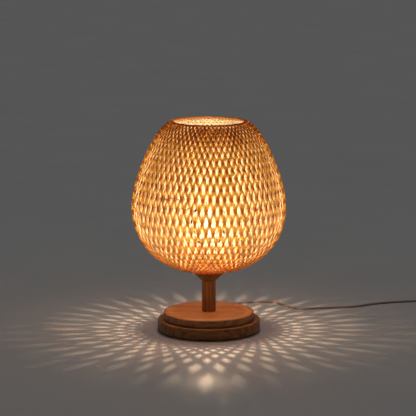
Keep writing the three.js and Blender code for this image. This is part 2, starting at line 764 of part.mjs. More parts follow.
function switchScrew() {
  const { head, shank, top } = SWITCH_SCREW;
  const headBottom = 0.2;
  const headTop = SWITCH.wall / 2 - GAP;
  const outline = [
    corner(0, headBottom),
    corner(head, headBottom),
    corner(head, headTop),
    corner(shank, headTop),
    corner(shank, top),
    corner(0, top),
  ];
  return turned(outline, screwSides);
}

// The upper half has the rocker's window, two lugs for the rocker's pins, two screw bosses.
function switchUpperHalf() {
  const { length, width, height, wall, corner: radius } = SWITCH;
  const body = roundedBar(length, width, radius, switchSeam + GAP / 2, height);
  const hollow = toManifold(pocket(0, height - wall));
  const lug = (side) =>
    new THREE.BoxGeometry(2, 6, height).translate(side * (ROCKER.width / 2 + 2), 0, height / 2);
  const bosses = upright(SWITCH_SCREW.boss, 0, height).map(toManifold);
  const lugs = [toManifold(lug(1)), toManifold(lug(-1))];
  const space = [...lugs, ...bosses].reduce((rest, solid) => rest.subtract(solid), hollow);
  const window = new THREE.BoxGeometry(ROCKER.width + 1.6, ROCKER.length + 2.4, height);
  const pinBore = bar(
    [-width, 0, ROCKER.pivotHeight], [width, 0, ROCKER.pivotHeight], ROCKER.pin + GAP, 16);
  const pinWay = toManifold(pinBore).intersect(
    toManifold(new THREE.BoxGeometry(width - 2 * wall, 8, 3 * height)));
  const shankWays = upright(SWITCH_SCREW.shank + GAP, 0, SWITCH_SCREW.top + GAP).map(toManifold);
  const shell = shankWays
    .reduce((rest, solid) => rest.subtract(solid), toManifold(body))
    .subtract(space)
    .subtract(toManifold(window.translate(0, 0, height)))
    .subtract(toManifold(leadWay))
    .subtract(pinWay);
  return fromManifold(shell);
}

// The rocker: a shallow V on top, a hub below, and a pin out of each side.
function switchRocker() {
  const { length, width, pivotHeight, pin } = ROCKER;
  const half = length / 2;
  const rise = SWITCH.height + 1.6 - pivotHeight;
  const middle = SWITCH.height + 0.2 - pivotHeight;
  const side = new THREE.Shape();
  side.moveTo(-half, 1.2);
  side.lineTo(-3, 0.6);
  side.quadraticCurveTo(0, -4.6, 3, 0.6);
  side.lineTo(half, 1.2);
  side.lineTo(half - 0.3, rise);
  side.lineTo(0, middle);
  side.lineTo(-half + 0.3, rise);
  side.closePath();
  const body = new THREE.ExtrudeGeometry(side, { depth: width, bevelEnabled: false, curveSegments: 5 });
  body.translate(0, 0, -width / 2);
  // The outline's x runs along Y, its y along Z, and its depth along X.
  body.applyMatrix4(new THREE.Matrix4().makeBasis(
    new THREE.Vector3(0, 1, 0), new THREE.Vector3(0, 0, 1), new THREE.Vector3(1, 0, 0)));
  const pins = bar([-width / 2 - 2.7, 0, 0], [width / 2 + 2.7, 0, 0], pin, 16);
  return join(body, pins);
}

place('switch_lower_half', switchLowerHalf(), materials.plastic, [0, 0, 0], switchGroup);
place('switch_upper_half', switchUpperHalf(), materials.plastic, [0, 0, 0], switchGroup);
screwPlaces.forEach(([x, y], index) => {
  place('switch_screw_' + (index + 1), switchScrew(), materials.zinc, [x, y, 0], switchGroup);
});
const rocker = place(
  'switch_rocker', switchRocker(), materials.plastic, [0, 0, ROCKER.pivotHeight], switchGroup);
rocker.rotation.x = THREE.MathUtils.degToRad(ROCKER.tilt);

// ---------------------------------------------------------------- plug

const plugGroup = new THREE.Group();
plugGroup.position.set(SWITCH.x, PLUG.y, PLUG.cordHeight);
lamp.add(plugGroup);

// The moulded body: narrow at the pins' face, widest past the middle, drawn in to the lead.
function plugBody() {
  const { length, width, face, height } = PLUG;
  const half = length / 2;
  const plan = new THREE.Shape();
  plan.moveTo(-face / 2, -half);
  plan.lineTo(face / 2, -half);
  plan.lineTo(width / 2, half * 0.1);
  plan.quadraticCurveTo(width / 2, half * 0.5, width / 4, half * 0.85);
  plan.lineTo(5, half);
  plan.lineTo(-5, half);
  plan.lineTo(-width / 4, half * 0.85);
  plan.quadraticCurveTo(-width / 2, half * 0.5, -width / 2, half * 0.1);
  plan.closePath();
  const body = new THREE.ExtrudeGeometry(plan, { depth: height, bevelEnabled: false, curveSegments: 6 });
  body.translate(0, 0, -height / 2);
  const { root, thick, thin } = PLUG_RELIEF;
  const reliefLength = PLUG_RELIEF.length + root;
  const relief = new THREE.CylinderGeometry(thin, thick, reliefLength, 16);
  relief.translate(0, half - root + reliefLength / 2, 0);
  const sockets = [-1, 1].map((side) => {
    const x = (side * PIN.spacing) / 2;
    return bar([x, -half - 1, 0], [x, -half + PIN.root + 0.5, 0], PIN.radius + GAP, 16);
  });
  return cut(join(body, relief), ...sockets);
}

// A pin with a domed end, standing in the body by its root.
function plugPin() {
  const { radius, length, root } = PIN;
  const outline = new THREE.Path();
  outline.moveTo(0, -root);
  outline.lineTo(radius, -root);
  outline.lineTo(radius, length - radius);
  outline.quadraticCurveTo(radius, length, 0, length);
  return turned(outline.getPoints(4), 16).rotateX(Math.PI / 2);
}

place('plug_body', plugBody(), materials.plastic, [0, 0, 0], plugGroup);
for (const [name, side] of [['plug_pin_left', -1], ['plug_pin_right', 1]]) {
  const at = [(side * PIN.spacing) / 2, -PLUG.length / 2, 0];
  place(name, plugPin(), materials.nickel, at, plugGroup);
}

export default lamp;
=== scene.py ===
# A lit table lamp: a pear-shaped double-layer woven bamboo shade on a turned wooden stem and
# two-tier base, with its mains lead, in-line switch and plug. Metres, +Z up, in the frame's axes.

import json
import math
import random

import bmesh
import bpy
import numpy as np
from mathutils import Matrix, Vector


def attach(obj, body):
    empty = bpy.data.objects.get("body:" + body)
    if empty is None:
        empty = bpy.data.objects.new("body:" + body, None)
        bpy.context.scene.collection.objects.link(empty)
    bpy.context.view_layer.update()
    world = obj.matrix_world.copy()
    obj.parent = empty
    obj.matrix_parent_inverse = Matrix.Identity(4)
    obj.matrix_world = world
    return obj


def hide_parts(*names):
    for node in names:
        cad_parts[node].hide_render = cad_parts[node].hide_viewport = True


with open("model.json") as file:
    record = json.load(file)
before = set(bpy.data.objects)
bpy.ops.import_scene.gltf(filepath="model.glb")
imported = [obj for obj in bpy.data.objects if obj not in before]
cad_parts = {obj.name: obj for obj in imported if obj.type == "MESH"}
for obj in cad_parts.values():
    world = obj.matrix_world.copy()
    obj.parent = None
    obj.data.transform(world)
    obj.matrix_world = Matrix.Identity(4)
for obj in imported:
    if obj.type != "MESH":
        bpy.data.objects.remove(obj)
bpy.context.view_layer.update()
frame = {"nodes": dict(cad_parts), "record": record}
nodes = frame["nodes"]
scene = bpy.context.scene
MM = 0.001


# ---------------------------------------------------------------- camera

CAMERA_PLACE = (-0.0013, -2.8857, 0.6959)
CAMERA_LENS, SENSOR_WIDTH = 157.7, 36.0
LOOK_DOWN = 9.743  # degrees below the horizon


def make_camera():
    data = bpy.data.cameras.new("camera")
    data.lens = CAMERA_LENS
    data.sensor_width = SENSOR_WIDTH
    data.clip_end = 200.0
    camera = bpy.data.objects.new("camera", data)
    scene.collection.objects.link(camera)
    camera.location = CAMERA_PLACE
    camera.rotation_euler = (math.pi / 2 - math.radians(LOOK_DOWN), 0.0, 0.0)
    scene.camera = camera


make_camera()


# ---------------------------------------------------------------- mesh helpers

def add_object(name, data, body="lamp", replaces=()):
    """Links a new piece, makes it ride on a body, and says which CAD nodes it stands for."""
    piece = bpy.data.objects.new(name, data)
    scene.collection.objects.link(piece)
    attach(piece, body)
    if replaces:
        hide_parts(*replaces)
    return piece


def shade_smooth(data, sharp_angle):
    """Smooth faces, with a sharp edge where two of them meet at more than this many degrees."""
    data.polygons.foreach_set("use_smooth", [True] * len(data.polygons))
    data.set_sharp_from_angle(angle=math.radians(sharp_angle))


def mesh_from(name, vertices, faces, sharp_angle):
    data = bpy.data.meshes.new(name)
    data.from_pydata([tuple(v) for v in vertices], [], faces)
    data.update()
    shade_smooth(data, sharp_angle)
    return data


def fix_normals(data):
    """Turns every face of a closed solid outwards."""
    shell = bmesh.new()
    shell.from_mesh(data)
    bmesh.ops.recalc_face_normals(shell, faces=shell.faces)
    shell.to_mesh(data)
    shell.free()


def solid_from(name, vertices, faces, sharp_angle=35):
    data = mesh_from(name, vertices, faces, sharp_angle)
    fix_normals(data)
    shade_smooth(data, sharp_angle)
    return data


def arc(centre, radius, start, end, steps=6):
    """Points round part of a circle, for an outline; the angles are in degrees."""
    turns = [math.radians(start + (end - start) * i / steps) for i in range(steps + 1)]
    return [(centre[0] + radius * math.cos(a), centre[1] + radius * math.sin(a)) for a in turns]


def bezier(a, b, c, d, steps=12):
    """Points along a cubic curve, for an outline."""
    points = []
    for i in range(steps + 1):
        t = i / steps
        k = ((1 - t) ** 3, 3 * t * (1 - t) ** 2, 3 * t * t * (1 - t), t ** 3)
        points.append(tuple(sum(w * p[n] for w, p in zip(k, (a, b, c, d))) for n in (0, 1)))
    return points


def lathe(name, outline, sides=128, closed=True):
    """A solid of revolution about +Z from (radius, height) points in millimetres.

    A closed outline goes round the wall of a ring. An open one starts and ends on the axis."""
    points = [(r * MM, z * MM) for r, z in outline]
    vertices, rings = [], []
    for radius, height in points:
        if radius < 1e-9:
            rings.append([len(vertices)])
            vertices.append((0.0, 0.0, height))
            continue
        rings.append(list(range(len(vertices), len(vertices) + sides)))
        for side in range(sides):
            angle = 2 * math.pi * side / sides
            vertices.append((radius * math.cos(angle), radius * math.sin(angle), height))
    pairs = list(zip(rings, rings[1:]))
    if closed:
        pairs.append((rings[-1], rings[0]))
    faces = []
    for low, high in pairs:
        for side in range(sides):
            after = (side + 1) % sides
            if len(low) == 1 and len(high) == 1:
                break  # two points on the axis have no wall between them
            if len(low) == 1:
                faces.append((low[0], high[after], high[side]))
            elif len(high) == 1:
                faces.append((low[side], low[after], high[0]))
            else:
                faces.append((low[side], low[after], high[after], high[side]))
    return solid_from(name, vertices, faces)


def sweep(name, path, section, ups, closed=False):
    """A solid whose flat section, of (across, up) points, follows a path of points."""
    path = [Vector(p) for p in path]
    count, ring = len(path), len(section)
    vertices, faces = [], []
    for i, at in enumerate(path):
        if closed:
            way = path[(i + 1) % count] - path[i - 1]
        else:
            way = path[min(i + 1, count - 1)] - path[max(i - 1, 0)]
        way.normalize()
        up = Vector(ups[i])
        up = (up - way * up.dot(way)).normalized()
        across = way.cross(up)
        vertices += [at + across * x + up * y for x, y in section]
    spans = count if closed else count - 1
    for i in range(spans):
        here, there = i * ring, ((i + 1) % count) * ring
        for k in range(ring):
            after = (k + 1) % ring
            faces.append((here + k, here + after, there + after, there + k))
    if not closed:
        faces.append(tuple(range(ring - 1, -1, -1)))
        faces.append(tuple(range((count - 1) * ring, count * ring)))
    return solid_from(name, vertices, faces)


# ---------------------------------------------------------------- lead

LEAD_RADIUS = 1.75
LYING = LEAD_RADIUS  # height of the lead's axis where it lies on the floor
SWITCH_X, SWITCH_FRONT, SWITCH_BACK = 408, 108, 170
SWITCH_SEAM = 7.5  # height of the lead's axis in the switch
COIL = {
    "x": 379.8, "y": 13, "inside": 13.8, "outside": 28.2, "turns": 4,
    "low": 2.75, "high": 6.35,  # heights of the lead's axis in the two layers
}
PLUG_Y, PLUG_AXIS = -56, 6.85


def coil_points():
    """Four turns spiralling in on the floor, then four spiralling out on top of them."""
    per_turn = 24
    steps = COIL["turns"] * per_turn
    points = []
    for step in range(2 * steps + 1):
        inwards = min(step, 2 * steps - step) / steps
        radius = COIL["outside"] + (COIL["inside"] - COIL["outside"]) * inwards
        climb = min(1.0, max(0.0, (step - steps + per_turn / 2) / per_turn))
        height = COIL["low"] + (COIL["high"] - COIL["low"]) * climb * climb * (3 - 2 * climb)
        angle = -2 * math.pi * step / per_turn
        points.append((
            COIL["x"] + radius * math.cos(angle), COIL["y"] + radius * math.sin(angle), height))
    return points


def lead_points():
    """The lead's whole route in millimetres, from the gland's tip to inside the plug."""
    to_switch = [
        (0, 112.3, 8), (0, 122, 7.4), (1, 134, 4.9), (5, 147, 2.6), (13, 160, LYING),
        (25, 172, LYING), (39, 181, LYING), (53, 187, LYING), (67, 193, LYING), (80, 197, LYING),
        (94, 199.5, LYING), (108, 197, LYING), (121, 187, LYING), (131, 171, LYING),
        (139, 157, LYING), (149, 147, LYING), (160, 144, LYING), (175, 146, LYING),
        (198, 151, LYING), (217, 154, LYING), (240, 158.5, LYING), (260, 167, LYING),
        (280, 180, LYING), (314, 194, LYING), (345, 202, LYING), (368, 205, LYING),
        (386, 203, LYING), (400, 194, 2.4), (407, 181, 5.6),
    ]
    through_switch = [(SWITCH_X, y, SWITCH_SEAM) for y in (SWITCH_BACK, 150, 128, SWITCH_FRONT)]
    to_coil = [
        (408.3, 98, 6.2), (409, 87, 3.7), (409.8, 74, LYING), (410, 60, LYING),
        (409.2, 44, 2.2), (408, 29, COIL["low"]),
    ]
    to_plug = [
        (408, -3, COIL["high"]), (408, -13, 5.75), (408, -24, PLUG_AXIS),
        (408, -35, PLUG_AXIS), (408, -47, PLUG_AXIS),
    ]
    return to_switch + through_switch + to_coil + coil_points() + to_plug


def smooth_route(points, per_span):
    """A centripetal Catmull-Rom curve through the points, as a closer list of points."""
    points = [Vector(p) for p in points]
    points = [2 * points[0] - points[1]] + points + [2 * points[-1] - points[-2]]
    route = []
    for a, b, c, d in zip(points, points[1:], points[2:], points[3:]):
        before, span, after = ((q - p).length ** 0.5 for p, q in ((a, b), (b, c), (c, d)))
        leave = ((b - a) / before - (c - a) / (before + span) + (c - b) / span) * span
        arrive = ((c - b) / span - (d - b) / (span + after) + (d - c) / after) * span
        for i in range(per_span):
            t = i / per_span
            route.append(
                b * (2 * t ** 3 - 3 * t ** 2 + 1) + leave * (t ** 3 - 2 * t ** 2 + t)
                + c * (3 * t ** 2 - 2 * t ** 3) + arrive * (t ** 3 - t ** 2)
            )
    route.append(points[-2])
    return route


def round_section(radius, sides):
    turns = [2 * math.pi * k / sides for k in range(sides)]
    return [(radius * math.cos(a), radius * math.sin(a)) for a in turns]


def make_lead():
    route = [p * MM for p in smooth_route(lead_points(), 4)]
    upwards = [(0, 0, 1)] * len(route)
    tube = sweep("mains_lead", route, round_section(LEAD_RADIUS * MM, 12), upwards)
    nodes_replaced = ("lead_to_switch", "lead_to_coil", "lead_coil", "lead_to_plug")
    return add_object("mains_lead", tube, replaces=nodes_replaced), route


lead, lead_route = make_lead()


# ---------------------------------------------------------------- materials

def new_tree(name):
    material = bpy.data.materials.new(name)
    material.use_nodes = True
    material.node_tree.nodes.clear()
    return material, material.node_tree


def add_node(tree, kind, settings=None, **sockets):
    """Adds a node. A socket is given as its name with _ for a space, or as _ and its number.

    It takes a value or a link."""
    made = tree.nodes.new(kind)
    for key, value in (settings or {}).items():
        setattr(made, key, value)
    for key, value in sockets.items():
        socket = made.inputs[int(key[1:])] if key[0] == "_" else made.inputs[key.replace("_", " ")]
        if isinstance(value, bpy.types.NodeSocket):
            tree.links.new(value, socket)
        else:
            socket.default_value = value
    return made


def color(red, green, blue):
    return (red, green, blue, 1.0)


WHITE = color(1, 1, 1)


def ramp(tree, factor, stops):
    """A colour ramp from (position, colour) stops."""
    made = add_node(tree, "ShaderNodeValToRGB", Fac=factor)
    band = made.color_ramp
    while len(band.elements) < len(stops):
        band.elements.new(0.5)
    for element, (position, shade) in zip(band.elements, stops):
        element.position = position
        element.color = shade
    return made.outputs["Color"]


def math_node(tree, operation, first, second=0.0, third=0.0):
    made = add_node(
        tree, "ShaderNodeMath", {"operation": operation}, _0=first, _1=second, _2=third)
    return made.outputs[0]


def spread(tree, value, low, high):
    """Maps 0..1 to low..high."""
    made = add_node(tree, "ShaderNodeMapRange", Value=value, To_Min=low, To_Max=high)
    return made.outputs["Result"]


def mix_color(tree, factor, first, second, blend="MIX"):
    made = add_node(tree, "ShaderNodeMix", {"data_type": "RGBA", "blend_type": blend})
    factor_socket, first_socket, second_socket = (made.inputs[n] for n in (0, 6, 7))
    for socket, value in (
        (factor_socket, factor), (first_socket, first), (second_socket, second),
    ):
        if isinstance(value, bpy.types.NodeSocket):
            tree.links.new(value, socket)
        else:
            socket.default_value = value
    return made.outputs[2]


def object_place(tree, scale=(1, 1, 1), turn=(0, 0, 0)):
    """Object coordinates in millimetres, stretched by scale."""
    place = add_node(tree, "ShaderNodeTexCoord").outputs["Object"]
    size = tuple(1000 * s for s in scale)
    return add_node(tree, "ShaderNodeMapping", Vector=place, Scale=size, Rotation=turn).outputs[0]


def noise(tree, place, scale, detail=3.0, roughness=0.55):
    made = add_node(
        tree, "ShaderNodeTexNoise", Vector=place, Scale=scale, Detail=detail, Roughness=roughness)
    return made.outputs["Fac"]


def mix_shaders(tree, factor, first, second):
    made = add_node(tree, "ShaderNodeMixShader", Fac=factor)
    tree.links.new(first.outputs[0], made.inputs[1])
    tree.links.new(second.outputs[0], made.inputs[2])
    return made


def output(tree, shader):
    tree.links.new(shader.outputs[0], add_node(tree, "ShaderNodeOutputMaterial").inputs["Surface"])


def bump(tree, height, strength, distance=0.0002):
    made = add_node(tree, "ShaderNodeBump", Height=height, Strength=strength, Distance=distance)
    return made.outputs["Normal"]


def wood(name, dark, middle, light, grain, seed, gloss=0.5):
    """Oiled wood. grain is the way the fibres run, X or Z, and seed moves the pattern of rings."""
    material, tree = new_tree(name)
    rings_scale = (0.05, 1, 0.55) if grain == "X" else (1, 0.55, 0.05)
    fibre_scale = (0.06, 2.4, 2.4) if grain == "X" else (2.4, 2.4, 0.06)
    shifted = add_node(
        tree, "ShaderNodeVectorMath", {"operation": "ADD"},
        _0=object_place(tree, rings_scale), _1=(seed, seed * 0.7, seed * 1.3))
    warp = add_node(tree, "ShaderNodeTexNoise", Vector=shifted.outputs[0], Scale=0.05, Detail=2.0)
    bent = add_node(
        tree, "ShaderNodeVectorMath", {"operation": "MULTIPLY_ADD"},
        _0=warp.outputs["Color"], _1=(14, 14, 14), _2=shifted.outputs[0])
    rings = noise(tree, bent.outputs[0], 0.22, 4.0, 0.6)
    fibres = noise(tree, object_place(tree, fibre_scale), 1.0, 4.0, 0.7)
    pores = noise(tree, object_place(tree, tuple(2.2 * s for s in fibre_scale)), 1.3, 1.0, 0.5)
    body = ramp(tree, rings, [(0.34, dark), (0.5, middle), (0.66, light)])
    dark_fibres = ramp(tree, fibres, [(0.3, color(0.45, 0.40, 0.36)), (0.62, WHITE)])
    streaked = mix_color(tree, 0.55, body, dark_fibres, "MULTIPLY")
    pore_mask = ramp(tree, pores, [(0.30, color(0.3, 0.26, 0.22)), (0.40, WHITE)])
    painted = mix_color(tree, 0.45, streaked, pore_mask, "MULTIPLY")
    height = math_node(tree, "ADD", fibres, math_node(tree, "MULTIPLY", pores, 0.8))
    shader = add_node(
        tree, "ShaderNodeBsdfPrincipled", Base_Color=painted,
        Roughness=spread(tree, fibres, gloss + 0.1, gloss - 0.08),
        Normal=bump(tree, height, 0.35, 0.0001))
    shader.inputs["Coat Weight"].default_value = 0.06
    shader.inputs["Coat Roughness"].default_value = 0.3
    output(tree, shader)
    return material


def bamboo(name, skin, deep, through, glow, clear, painted_shades, streaks=0.5, straight=0.0):
    """A split bamboo strip that lets light through.

    The strip attribute holds millimetres across the strip, millimetres along it, and the strip's
    own tone. glow is the part of the light that comes out behind, straight is the part of that
    which keeps its direction, and clear is the part that passes through pores. The argument for
    painted shade holds what light a strip still passes where it crosses another, and along its
    edges. The light that passes is also painted darker towards the strip's ends.
    """
    material, tree = new_tree(name)
    strip = add_node(tree, "ShaderNodeAttribute", {"attribute_name": "strip"}).outputs["Vector"]
    parts = add_node(tree, "ShaderNodeSeparateXYZ", Vector=strip)
    own = parts.outputs["Z"]
    fine = add_node(tree, "ShaderNodeMapping", Vector=strip, Scale=(5.0, 0.11, 31.0)).outputs[0]
    fibres = noise(tree, fine, 1.0, 3.0, 0.65)
    coarse = add_node(tree, "ShaderNodeMapping", Vector=strip, Scale=(0.12, 0.03, 57.0)).outputs[0]
    patchy = noise(tree, coarse, 1.0, 2.0)
    tone = math_node(tree, "MULTIPLY_ADD", own, 0.6, math_node(tree, "MULTIPLY", patchy, 0.4))
    lightest = tuple(min(1, c * 1.12) for c in skin)
    body = ramp(tree, tone, [(0.12, deep), (0.42, skin), (0.9, lightest)])
    dark_fibres = ramp(tree, fibres, [(0.32, color(0.55, 0.47, 0.38)), (0.6, WHITE)])
    surface = mix_color(tree, streaks, body, dark_fibres, "MULTIPLY")
    part_way = math_node(tree, "MULTIPLY", parts.outputs["Y"], 1 / STRIP_LENGTH)
    # Painted shade: less of the light gets through towards the strip's ends.
    painted_end_shade = ramp(tree, spread(tree, part_way, 0.0, 1.0), PAINTED_END_SHADE)
    toned = mix_color(tree, spread(tree, tone, 0.3, 0.0), through, deep)
    dim_fibres = ramp(tree, fibres, [(0.3, color(0.7, 0.6, 0.5)), (0.6, WHITE)])
    fibrous = mix_color(tree, streaks * 0.5, toned, dim_fibres, "MULTIPLY")
    # Painted shade: the light a strip passes is darker where it crosses another strip and along its
    # edges.
    painted_shade = add_node(tree, "ShaderNodeAttribute", {"attribute_name": "painted_crossing_and_edge_shade"})
    painted_shade = add_node(tree, "ShaderNodeSeparateXYZ", Vector=painted_shade.outputs["Vector"]).outputs
    painted_crossing_shade = ramp(tree, painted_shade["X"], [(0.55, WHITE), (1.0, color(*painted_shades["crossing"]))])
    edge = ramp(tree, painted_shade["Y"], [(0.0, WHITE), (1.0, color(*painted_shades["edge"]))])
    passing = fibrous
    for shaded in (painted_end_shade, painted_crossing_shade, edge):
        passing = mix_color(tree, 1.0, passing, shaded, "MULTIPLY")
    normal = bump(tree, fibres, 0.3, 0.00008)
    front = add_node(
        tree, "ShaderNodeBsdfPrincipled", Base_Color=surface, Normal=normal,
        Roughness=spread(tree, fibres, 0.5, 0.38))
    behind = add_node(tree, "ShaderNodeBsdfTranslucent", Color=passing, Normal=normal)
    if straight:
        ahead = add_node(tree, "ShaderNodeBsdfRefraction", Color=passing, Roughness=0.5, IOR=1.45)
        behind = mix_shaders(tree, straight, behind, ahead)
    lit = mix_shaders(tree, glow, front, behind)
    hole = add_node(tree, "ShaderNodeBsdfTransparent", Color=through)
    output(tree, mix_shaders(tree, clear, lit, hole))
    return material


def plastic(name, base, roughness, grain=3.0, depth=0.12):
    """Moulded plastic with a fine spark-eroded texture and slight handling marks."""
    material, tree = new_tree(name)
    place = object_place(tree)
    speckle = noise(tree, place, grain, 2.0)
    marks = noise(tree, place, 0.09, 4.0)
    darker = tuple(0.7 * c for c in base[:3]) + (1.0,)
    shader = add_node(
        tree, "ShaderNodeBsdfPrincipled",
        Base_Color=mix_color(tree, marks, darker, base),
        Roughness=spread(tree, marks, roughness - 0.08, roughness + 0.12),
        Normal=bump(tree, speckle, depth, 0.00006))
    output(tree, shader)
    return material


def metal(name, base, roughness, stretch=(1, 1, 1), depth=0.1):
    """Plated or drawn metal with fine marks and a little tarnish."""
    material, tree = new_tree(name)
    brushed = noise(tree, object_place(tree, stretch), 2.5, 3.0, 0.6)
    tarnish = noise(tree, object_place(tree), 0.15, 3.0)
    dull = tuple(0.62 * c for c in base[:3]) + (1.0,)
    shader = add_node(
        tree, "ShaderNodeBsdfPrincipled",
        Base_Color=mix_color(tree, spread(tree, tarnish, 0.2, 1.0), dull, base),
        Roughness=spread(tree, brushed, roughness - 0.08, roughness + 0.14),
        Normal=bump(tree, brushed, depth, 0.00005))
    shader.inputs["Metallic"].default_value = 1.0
    output(tree, shader)
    return material


def felt():
    material, tree = new_tree("felt")
    fluff = noise(tree, object_place(tree), 2.2, 6.0, 0.8)
    shader = add_node(
        tree, "ShaderNodeBsdfPrincipled",
        Base_Color=ramp(
            tree, fluff, [(0.3, color(0.010, 0.009, 0.008)), (0.7, color(0.055, 0.050, 0.045))]),
        Roughness=spread(tree, fluff, 0.85, 1.0), Normal=bump(tree, fluff, 0.8, 0.0004))
    output(tree, shader)
    return material


def ceramic():
    material, tree = new_tree("ceramic")
    spots = noise(tree, object_place(tree), 0.8, 5.0)
    shader = add_node(
        tree, "ShaderNodeBsdfPrincipled",
        Base_Color=ramp(
            tree, spots, [(0.3, color(0.70, 0.67, 0.60)), (0.6, color(0.86, 0.84, 0.78))]),
        Roughness=spread(tree, spots, 0.45, 0.65), Normal=bump(tree, spots, 0.2, 0.0001))
    output(tree, shader)
    return material


def clear_glass():
    """Thin clear glass: light passes straight through it, and it shines at its edges."""
    material, tree = new_tree("clear_glass")
    ripple = noise(tree, object_place(tree), 0.05, 1.0)
    uneven = bump(tree, ripple, 0.2, 0.0005)
    edge = add_node(tree, "ShaderNodeLayerWeight", Blend=0.15, Normal=uneven).outputs["Fresnel"]
    tint = ramp(tree, ripple, [(0.3, color(0.95, 0.95, 0.93)), (0.7, color(0.99, 0.99, 0.98))])
    through = add_node(tree, "ShaderNodeBsdfTransparent", Color=tint)
    shine = add_node(tree, "ShaderNodeBsdfGlossy", Color=color(1, 1, 1), Roughness=0.04)
    output(tree, mix_shaders(tree, edge, through, shine))
    return material


def glowing_filament():
    """Phosphor over a row of LED chips, lit."""
    material, tree = new_tree("glowing_filament")
    chips = noise(tree, object_place(tree), 0.9, 2.0)
    shader = add_node(
        tree, "ShaderNodeBsdfPrincipled", Base_Color=color(0.95, 0.70, 0.26), Roughness=0.6,
        Emission_Color=ramp(
            tree, chips, [(0.3, color(1.0, 0.66, 0.30)), (0.7, color(1.0, 0.80, 0.48))]),
        Emission_Strength=FILAMENT_GLOW)
    output(tree, shader)
    return material


def sheath(name, base):
    """The lead's sheath: a fine matt extrusion."""
    material, tree = new_tree(name)
    speckle = noise(tree, object_place(tree), 1.6, 3.0)
    dust = noise(tree, object_place(tree), 0.04, 3.0)
    lighter = tuple(min(1, 1.9 * c) for c in base[:3]) + (1.0,)
    shader = add_node(
        tree, "ShaderNodeBsdfPrincipled", Base_Color=mix_color(tree, dust, base, lighter),
        Roughness=spread(tree, speckle, 0.42, 0.6), Normal=bump(tree, speckle, 0.15, 0.00008))
    output(tree, shader)
    return material


FILAMENT_GLOW = 60.0
STRIP_LENGTH = 300.0  # a little less than the whole outline, from the bottom hoop to the mouth
PAINTED_END_SHADE = [  # painted shade along the strip: less of the light gets through towards its ends
    (0.0, color(0.62, 0.30, 0.12)), (0.16, color(0.76, 0.58, 0.42)), (0.38, WHITE),
    (0.86, WHITE), (1.0, color(0.78, 0.64, 0.50)),
]
# Painted shade on the light through a strip: what still passes where it crosses another strip, and
# along its edges.
OUTER_PAINTED_SHADES = {"crossing": (0.94, 0.72, 0.50), "edge": (0.76, 0.54, 0.36)}
INNER_PAINTED_SHADES = {"crossing": (0.98, 0.95, 0.90), "edge": (0.97, 0.93, 0.86)}

MATERIALS = {
    "base_top_wood": wood(
        "base_top_wood", color(0.30, 0.105, 0.028), color(0.50, 0.205, 0.06),
        color(0.62, 0.29, 0.10), "X", 11),
    "base_wood": wood(
        "base_wood", color(0.16, 0.052, 0.008), color(0.31, 0.118, 0.020),
        color(0.44, 0.18, 0.034), "X", 37),
    "stem_wood": wood(
        "stem_wood", color(0.11, 0.042, 0.012), color(0.22, 0.09, 0.024),
        color(0.32, 0.14, 0.040), "Z", 5),
    "outer_bamboo": bamboo(
        "outer_bamboo", color(0.62, 0.40, 0.16), color(0.50, 0.24, 0.08),
        color(1.0, 0.85, 0.35), glow=0.93, clear=0.02, painted_shades=OUTER_PAINTED_SHADES),
    "inner_bamboo": bamboo(
        "inner_bamboo", color(0.72, 0.63, 0.42), color(0.58, 0.45, 0.25),
        color(1.0, 0.93, 0.82), glow=0.60, clear=0.04, painted_shades=INNER_PAINTED_SHADES, streaks=0.3,
        straight=0.16),
    "hoop_bamboo": bamboo(
        "hoop_bamboo", color(0.60, 0.34, 0.13), color(0.34, 0.16, 0.05),
        color(1.0, 0.60, 0.20), glow=0.5, clear=0.0, painted_shades=OUTER_PAINTED_SHADES, streaks=0.6),
    "felt": felt(),
    "zinc": metal("zinc", color(0.66, 0.67, 0.69), 0.34),
    "steel": metal("steel", color(0.50, 0.51, 0.53), 0.42, (1, 1, 6)),
    "brass": metal("brass", color(0.80, 0.56, 0.22), 0.28),
    "nickel": metal("nickel", color(0.74, 0.72, 0.69), 0.22),
    "phenolic": plastic("phenolic", color(0.022, 0.020, 0.022), 0.32, 2.0, 0.05),
    "ceramic": ceramic(),
    "bulb_glass": clear_glass(),
    "black_glass": plastic("black_glass", color(0.015, 0.015, 0.017), 0.16, 0.5, 0.05),
    "filament": glowing_filament(),
    "lead_sheath": sheath("lead_sheath", color(0.28, 0.22, 0.20)),
    "core_blue": sheath("core_blue", color(0.03, 0.12, 0.35)),
    "core_brown": sheath("core_brown", color(0.10, 0.04, 0.015)),
    "brown_plastic": plastic("brown_plastic", color(0.050, 0.034, 0.026), 0.42),
}


def paint(piece, material):
    piece.data.materials.clear()
    piece.data.materials.append(MATERIALS[material])


paint(lead, "lead_sheath")

# The other slots have the same name as their material.
BAMBOO_SLOTS = {"dark_bamboo": "hoop_bamboo", "bamboo": "outer_bamboo"}
for entry in frame["record"]["subparts"]:
    slot_name = entry["material_slot"]
    paint(nodes[entry["node"]], BAMBOO_SLOTS.get(slot_name, slot_name))


# ---------------------------------------------------------------- base, stem and cup

ROD_HOLE = 5.3


def rounded_disc(radius, bottom, top, inside, edge_top, edge_bottom):
    """The outline of a disc with a hole, with both outer edges rounded."""
    return [
        (inside, bottom),
        *arc((radius - edge_bottom, bottom + edge_bottom), edge_bottom, -90, 0),
        *arc((radius - edge_top, top - edge_top), edge_top, 0, 90),
        (inside, top),
    ]


